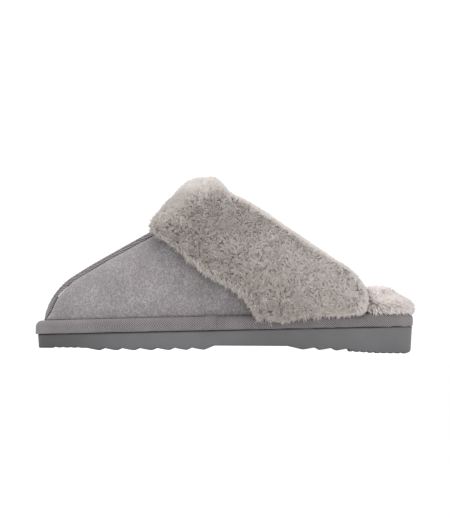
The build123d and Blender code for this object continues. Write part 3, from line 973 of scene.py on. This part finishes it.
def make_cuff(sizes, colours):
    """The turned-back sheepskin cuff: dense locks that hang towards a ragged hem."""
    mesh = felted_body("cuff_base", ["cuff_wool"], voxel=1.9 * MM, set_in=0.88 * sizes.cuff_pile,
                       lump=0.8 * MM, lump_size=15 * MM, seed=3, rounds=9)
    crest_from, crest_full = 92 * MM, 106 * MM          # heights between which the crest takes its shape
    peak_at, peak_spread, peak_rise = -23.5 * MM, 11 * MM, 6.3 * MM
    hollow_spread, hollow_fall = 9 * MM, 2.5 * MM       # the hollow behind the peak is at Y=0
    points = points_of(mesh)
    upper = np.clip((points[:, 2] - crest_from) / (crest_full - crest_from), 0.0, 1.0)
    peak = np.exp(-(((points[:, 1] - peak_at) / peak_spread) ** 2))
    hollow = np.exp(-((points[:, 1] / hollow_spread) ** 2))
    points[:, 2] += upper * (peak_rise * peak - hollow_fall * hollow)
    move_points(mesh, points)
    base = add_piece("cuff_base", mesh, wool_base(colours), ["cuff_wool"])
    covers = [surface_of("cuff_skin", "vamp_left", "vamp_right", "lining_left", "lining_right")]
    stops = [surface_of("platform_wrap_tape", "midsole", "vamp_left", "vamp_right", "cuff_skin")]

    hem_slope, hem_height, fold_height = 0.66, 55 * MM, 115 * MM

    def toward_fold(roots):
        """0 at the hem under the wings, 1 at the fold."""
        height = roots[:, 2] + hem_slope * roots[:, 1]
        return np.clip((height - hem_height) / (fold_height - hem_height), 0, 1)

    # painted light: the cuff's locks are lighter towards the fold at its top and darker towards the hem
    def brighter(roots):
        return 0.36 * np.clip(toward_fold(roots), 0.0, 0.75) - 0.26

    def rough(roots):
        return np.clip(0.85 - 1.5 * toward_fold(roots), 0.05, 1.0)

    fleece("cuff_pile", 6, mesh, covers, stops, wool("cuff_wool_locks", colours),
           sizes.cuff_strands, sizes.cuff_pile, sizes.strand_radius, seed=5, comb=(0.0, 0.1, -0.45),
           brighter=brighter, rough=rough, hem=hem_line("cuff_wool"))


def make_footbed(sizes, colours):
    """Sheepskin footbed, which bulges over the platform's edge at the heel."""
    mesh = felted_body("footbed_base", ["footbed_wool"], voxel=1.9 * MM, set_in=0.8 * sizes.footbed_pile,
                       lump=0.6 * MM, lump_size=12 * MM, seed=7, resting=True)
    base = add_piece("footbed_base", mesh, wool_base(colours), ["footbed_wool"])
    covers = [surface_of("midsole", "platform_wrap_tape")]
    stops = [surface_of("midsole", "platform_wrap_tape", "lining_left", "lining_right")]
    heel_from, toe_from = 85 * MM, -70 * MM
    thin = np.random.default_rng(13)

    def keep(roots, normals):
        """Every root at the heel, which shows, and some of those further in."""
        at_heel = roots[:, 1] > heel_from
        inside = (roots[:, 1] > toe_from) & (thin.random(len(roots)) < 0.5)
        return (at_heel | inside) & (normals[:, 2] > -0.75)

    def brighter(roots):
        return 0.06 * np.clip((roots[:, 1] - 80 * MM) / (30 * MM), 0, 1)

    locks = wool("footbed_wool_locks", colours, 1.08, (1.0, 0.985, 0.995))
    fleece("footbed_pile", 2, mesh, covers, stops, locks,
           sizes.footbed_strands, sizes.footbed_pile, sizes.strand_radius, seed=9, comb=(0.0, 0.35, -0.5),
           keep=keep, brighter=brighter, rough=lambda roots: np.full(len(roots), 0.12), near=2 * MM)


def make_stage():
    """Pale floor, soft studio light and the camera at the slipper's left side."""
    scene = bpy.context.scene
    scene.view_settings.view_transform = "Standard"
    bm = bmesh.new()
    bmesh.ops.create_grid(bm, x_segments=1, y_segments=1, size=6.0)
    floor = bpy.data.objects.new("floor", to_mesh(bm, "floor", smooth=False))
    scene.collection.objects.link(floor)
    s = Shader("pale_floor")
    cloud = s.noise(s.place(), 0.5, 2.0)
    white = s.mix(cloud, (0.93, 0.93, 0.93), (0.96, 0.96, 0.96))
    floor.data.materials.append(s.finish(white, 0.9, specular=0.0))

    world = bpy.data.worlds.new("studio")
    scene.world = world
    world.use_nodes = True
    sky = world.node_tree.nodes["Background"].inputs
    sky["Color"].default_value = (1.0, 1.0, 1.0, 1.0)
    sky["Strength"].default_value = 1.08

    aim = Vector((0, 0, 0.05))
    lamps = (("overhead", (0.25, 0.1, 1.5), 1.4, 15.0), ("front", (1.4, -0.1, 0.25), 1.0, 5.0))
    for name, place, size, power in lamps:          # size in metres, power in watts
        light = bpy.data.lights.new(name, "AREA")
        light.size = size
        light.energy = power
        lamp = bpy.data.objects.new(name, light)
        lamp.location = place
        lamp.rotation_euler = (aim - Vector(place)).to_track_quat("-Z", "Y").to_euler()
        scene.collection.objects.link(lamp)

    sensor, distance = 36.0, 6.0
    picture_height = 0.3626                         # of what the camera takes in, at the slipper's middle
    tilt, roll = math.radians(-0.57), 0.0115
    target = Vector((0.0, 0.0, 0.0648))
    view = bpy.data.cameras.new("side_view")
    view.sensor_width = sensor
    view.lens = sensor * distance / picture_height
    camera = bpy.data.objects.new("side_view", view)
    camera.location = target + Vector((distance * math.cos(tilt), 0, distance * math.sin(tilt)))
    look = (target - camera.location).to_track_quat("-Z", "Y").to_matrix()
    camera.rotation_euler = (look @ Matrix.Rotation(roll, 3, "Z")).to_euler()
    scene.collection.objects.link(camera)
    scene.camera = camera


# ---- operators -----------------------------------------------------------------------------------

class SlipperOperator:
    """What the slipper's operators share."""
    bl_options = {"REGISTER", "UNDO"}

    def execute(self, context):
        self.build(context.scene.slipper_sizes, context.scene.slipper_colours)
        return {"FINISHED"}


class SLIPPER_OT_inner_layers(SlipperOperator, bpy.types.Operator):
    """Finish the layers and threads that keep their CAD shape"""
    bl_idname = "slipper.inner_layers"
    bl_label = "Inner Layers"

    def build(self, sizes, colours):
        make_inner_layers(colours)


class SLIPPER_OT_outsole(SlipperOperator, bpy.types.Operator):
    """Build the moulded outsole"""
    bl_idname = "slipper.outsole"
    bl_label = "Outsole"

    def build(self, sizes, colours):
        make_outsole(colours)


class SLIPPER_OT_wrap_tape(SlipperOperator, bpy.types.Operator):
    """Build the woven tape round the platform"""
    bl_idname = "slipper.wrap_tape"
    bl_label = "Platform Tape"

    def build(self, sizes, colours):
        make_wrap_tape(sizes, colours)


class SLIPPER_OT_suede_panels(SlipperOperator, bpy.types.Operator):
    """Build both suede panels of the upper"""
    bl_idname = "slipper.suede_panels"
    bl_label = "Suede Panels"

    def build(self, sizes, colours):
        material = napped_suede(colours)
        make_panel("suede_left", "vamp_left", 1, sizes, material)
        make_panel("suede_right", "vamp_right", -1, sizes, material)


class SLIPPER_OT_seam_tape(SlipperOperator, bpy.types.Operator):
    """Build the woven tape over the centre seam"""
    bl_idname = "slipper.seam_tape"
    bl_label = "Centre Seam Tape"

    def build(self, sizes, colours):
        make_seam_stitches(colours, make_seam_tape(sizes, colours))


class SLIPPER_OT_lining(SlipperOperator, bpy.types.Operator):
    """Build the wool lining"""
    bl_idname = "slipper.lining"
    bl_label = "Lining"

    def build(self, sizes, colours):
        make_lining(sizes, colours)


class SLIPPER_OT_cuff(SlipperOperator, bpy.types.Operator):
    """Build the turned-back sheepskin cuff"""
    bl_idname = "slipper.cuff"
    bl_label = "Sheepskin Cuff"

    def build(self, sizes, colours):
        make_cuff(sizes, colours)


class SLIPPER_OT_footbed(SlipperOperator, bpy.types.Operator):
    """Build the sheepskin footbed"""
    bl_idname = "slipper.footbed"
    bl_label = "Sheepskin Footbed"

    def build(self, sizes, colours):
        make_footbed(sizes, colours)


class SLIPPER_OT_stage(SlipperOperator, bpy.types.Operator):
    """Set the floor, the lights and the camera"""
    bl_idname = "slipper.stage"
    bl_label = "Stage"

    def build(self, sizes, colours):
        make_stage()


OPERATORS = (
    SLIPPER_OT_inner_layers, SLIPPER_OT_outsole, SLIPPER_OT_wrap_tape, SLIPPER_OT_suede_panels,
    SLIPPER_OT_seam_tape, SLIPPER_OT_lining, SLIPPER_OT_cuff, SLIPPER_OT_footbed, SLIPPER_OT_stage)


class SLIPPER_PT_sidebar(bpy.types.Panel):
    """Lists the slipper's operators, sizes and colours."""
    bl_idname = "SLIPPER_PT_sidebar"
    bl_label = "Fluffy House Slipper"
    bl_space_type = "VIEW_3D"
    bl_region_type = "UI"
    bl_category = "Slipper"

    def draw(self, context):
        for operator in OPERATORS:
            self.layout.operator(operator.bl_idname)
        for group in (context.scene.slipper_sizes, context.scene.slipper_colours):
            for name in group.__annotations__:
                self.layout.prop(group, name)


CLASSES = (SlipperSizes, SlipperColours, *OPERATORS, SLIPPER_PT_sidebar)


def register():
    for cls in CLASSES:
        bpy.utils.register_class(cls)
    bpy.types.Scene.slipper_sizes = PointerProperty(type=SlipperSizes)
    bpy.types.Scene.slipper_colours = PointerProperty(type=SlipperColours)


def unregister():
    del bpy.types.Scene.slipper_colours
    del bpy.types.Scene.slipper_sizes
    for cls in reversed(CLASSES):
        bpy.utils.unregister_class(cls)


def main():
    register()
    for operator in OPERATORS:
        group, name = operator.bl_idname.split(".")
        getattr(getattr(bpy.ops, group), name)()


if __name__ == "__main__":
    main()
